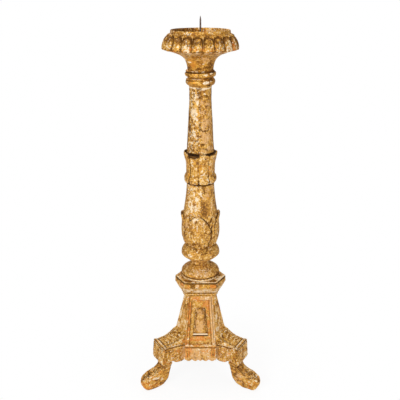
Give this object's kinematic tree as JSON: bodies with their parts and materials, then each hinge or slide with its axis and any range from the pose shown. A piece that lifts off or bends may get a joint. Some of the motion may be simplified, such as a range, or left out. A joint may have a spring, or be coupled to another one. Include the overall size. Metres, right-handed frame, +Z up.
{
  "type": "torchere candle stand",
  "caption": "Tall carved and gilded candle stand with a spiked drip dish on a turned column, a three-sided pedestal and three carved feet.",
  "frame": {"origin": "on the floor under the column's axis, midway between the three feet", "axes": "+Z up along the column, -Y towards the viewer of the front panel, one foot on the +Y side"},
  "size_m": [0.306, 0.2672, 0.914],
  "materials": {
    "spike_iron": "dull, lightly rusted wrought iron",
    "gilt_dish": "water gilding over gesso on carved wood, worn and dark in the valleys",
    "gilt_neck": "water gilding over red-orange bole, soft metallic sheen",
    "gilt_shaft": "aged gilding with cream gesso showing through in patches",
    "gilt_leaf": "aged gilding over carved wood, brown dirt in the carving",
    "gilt_base": "worn gilding with orange bole and cream gesso on the edges",
    "gilt_tablet": "worn gilding, satin, cream at the edges",
    "gilt_foot": "worn gilding over orange bole on carved wood",
    "bare_wood": "plain unfinished wood"
  },
  "bodies": {
    "root": {"pricket_spike": "spike_iron", "drip_dish": "gilt_dish", "neck_bell": "gilt_neck", "neck_ring_upper": "gilt_neck", "neck_ring_lower": "gilt_neck", "upper_shaft": "gilt_shaft", "waisted_collar": "gilt_shaft", "lower_shaft": "gilt_shaft", "leaf_cup": "gilt_leaf", "torus_knop": "gilt_leaf", "dome_knop": "gilt_leaf", "pedestal_cap": "gilt_base", "cap_moulding": "gilt_base", "pedestal_core": "bare_wood", "front_panel": "gilt_base", "rear_right_panel": "gilt_base", "rear_left_panel": "gilt_base", "front_tablet": "gilt_tablet", "rear_right_tablet": "gilt_tablet", "rear_left_tablet": "gilt_tablet", "front_left_post": "gilt_base", "front_right_post": "gilt_base", "rear_post": "gilt_base", "base_plinth": "bare_wood", "front_apron": "gilt_base", "rear_right_apron": "gilt_base", "rear_left_apron": "gilt_base", "front_left_block": "gilt_base", "front_right_block": "gilt_base", "rear_block": "gilt_base", "front_left_foot": "gilt_foot", "front_right_foot": "gilt_foot", "rear_foot": "gilt_foot", "foot_dowels": "bare_wood"}
  },
  "joints": []
}
